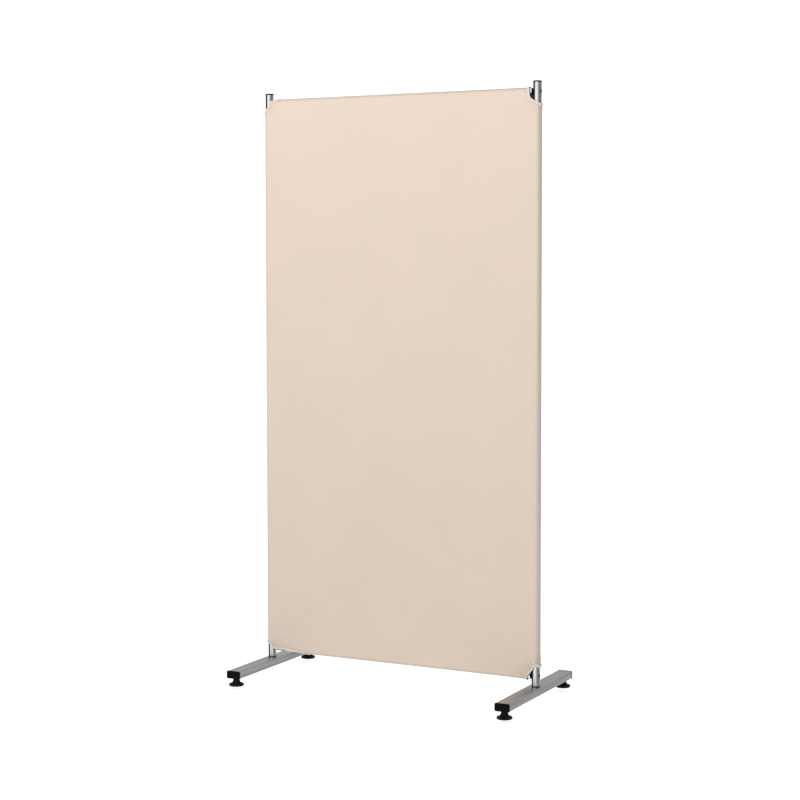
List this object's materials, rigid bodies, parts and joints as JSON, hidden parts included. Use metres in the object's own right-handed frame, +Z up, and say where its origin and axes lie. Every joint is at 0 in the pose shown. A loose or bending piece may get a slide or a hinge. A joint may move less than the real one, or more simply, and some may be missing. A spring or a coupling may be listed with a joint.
{
  "type": "partition wall",
  "caption": "Free-standing partition screen: round posts on T-shaped feet with levelling glides, joined by rails under a stretched cloth cover with elasticated cut corners.",
  "frame": {"origin": "on the floor, at the centre between the two feet", "axes": "+X along the panel towards the right post, +Y from the front of the panel to its back, +Z up"},
  "size_m": [0.831, 0.424, 1.6],
  "materials": {
    "tube_chrome": "bright chrome plate on steel tube",
    "foot_chrome": "chrome plate on rectangular steel tube, slightly hazy with fine grinding lines",
    "zinc_steel": "bright zinc plate",
    "black_oxide_steel": "black oxide, satin",
    "black_plastic": "moulded, fine satin grain",
    "pad_plastic": "moulded, satin",
    "cover_cloth": "plain woven polyester, matt, pale beige"
  },
  "bodies": {
    "frame": {"foot_tube_left": "foot_chrome", "foot_tube_right": "foot_chrome", "foot_end_cap_front_left": "black_plastic", "foot_end_cap_front_right": "black_plastic", "foot_end_cap_back_left": "black_plastic", "foot_end_cap_back_right": "black_plastic", "glide_nut_front_left": "zinc_steel", "glide_nut_front_right": "zinc_steel", "glide_nut_back_left": "zinc_steel", "glide_nut_back_right": "zinc_steel", "post_left": "tube_chrome", "post_right": "tube_chrome", "post_cap_left": "black_plastic", "post_cap_right": "black_plastic", "post_plug_left": "zinc_steel", "post_plug_right": "zinc_steel", "post_base_bolts": "black_oxide_steel", "post_base_washers": "zinc_steel", "bottom_rail": "tube_chrome", "top_rail": "tube_chrome", "rail_saddle_bottom_left": "black_plastic", "rail_saddle_bottom_right": "black_plastic", "rail_saddle_top_left": "black_plastic", "rail_saddle_top_right": "black_plastic", "rail_plug_bottom_left": "zinc_steel", "rail_plug_bottom_right": "zinc_steel", "rail_plug_top_left": "zinc_steel", "rail_plug_top_right": "zinc_steel", "rail_bolts": "black_oxide_steel", "fabric_cover": "cover_cloth", "corner_elastic_bottom_left": "cover_cloth", "corner_elastic_bottom_right": "cover_cloth", "corner_elastic_top_left": "cover_cloth", "corner_elastic_top_right": "cover_cloth"},
    "stud_front_left": {"glide_stud_front_left": "zinc_steel"},
    "pad_front_left": {"glide_pad_front_left": "pad_plastic"},
    "stud_front_right": {"glide_stud_front_right": "zinc_steel"},
    "pad_front_right": {"glide_pad_front_right": "pad_plastic"},
    "stud_back_left": {"glide_stud_back_left": "zinc_steel"},
    "pad_back_left": {"glide_pad_back_left": "pad_plastic"},
    "stud_back_right": {"glide_stud_back_right": "zinc_steel"},
    "pad_back_right": {"glide_pad_back_right": "pad_plastic"}
  },
  "joints": [
    {"name": "glide_front_left_travel", "type": "slide", "parent": "frame", "child": "stud_front_left", "axis": [0, 0, -1], "range_m": [0, 0.01]},
    {"name": "glide_front_left_turn", "type": "hinge", "parent": "stud_front_left", "child": "pad_front_left", "pos_m": [-0.395, -0.192, 0], "axis": [0, 0, -1], "range_deg": [0, 2880]},
    {"name": "glide_front_right_travel", "type": "slide", "parent": "frame", "child": "stud_front_right", "axis": [0, 0, -1], "range_m": [0, 0.01]},
    {"name": "glide_front_right_turn", "type": "hinge", "parent": "stud_front_right", "child": "pad_front_right", "pos_m": [0.395, -0.192, 0], "axis": [0, 0, -1], "range_deg": [0, 2880]},
    {"name": "glide_back_left_travel", "type": "slide", "parent": "frame", "child": "stud_back_left", "axis": [0, 0, -1], "range_m": [0, 0.01]},
    {"name": "glide_back_left_turn", "type": "hinge", "parent": "stud_back_left", "child": "pad_back_left", "pos_m": [-0.395, 0.192, 0], "axis": [0, 0, -1], "range_deg": [0, 2880]},
    {"name": "glide_back_right_travel", "type": "slide", "parent": "frame", "child": "stud_back_right", "axis": [0, 0, -1], "range_m": [0, 0.01]},
    {"name": "glide_back_right_turn", "type": "hinge", "parent": "stud_back_right", "child": "pad_back_right", "pos_m": [0.395, 0.192, 0], "axis": [0, 0, -1], "range_deg": [0, 2880]}
  ],
  "couplings": [
    {"joint": "glide_front_left_turn", "follows": "glide_front_left_travel", "rad_per_m": 5026.5},
    {"joint": "glide_front_right_turn", "follows": "glide_front_right_travel", "rad_per_m": 5026.5},
    {"joint": "glide_back_left_turn", "follows": "glide_back_left_travel", "rad_per_m": 5026.5},
    {"joint": "glide_back_right_turn", "follows": "glide_back_right_travel", "rad_per_m": 5026.5}
  ]
}
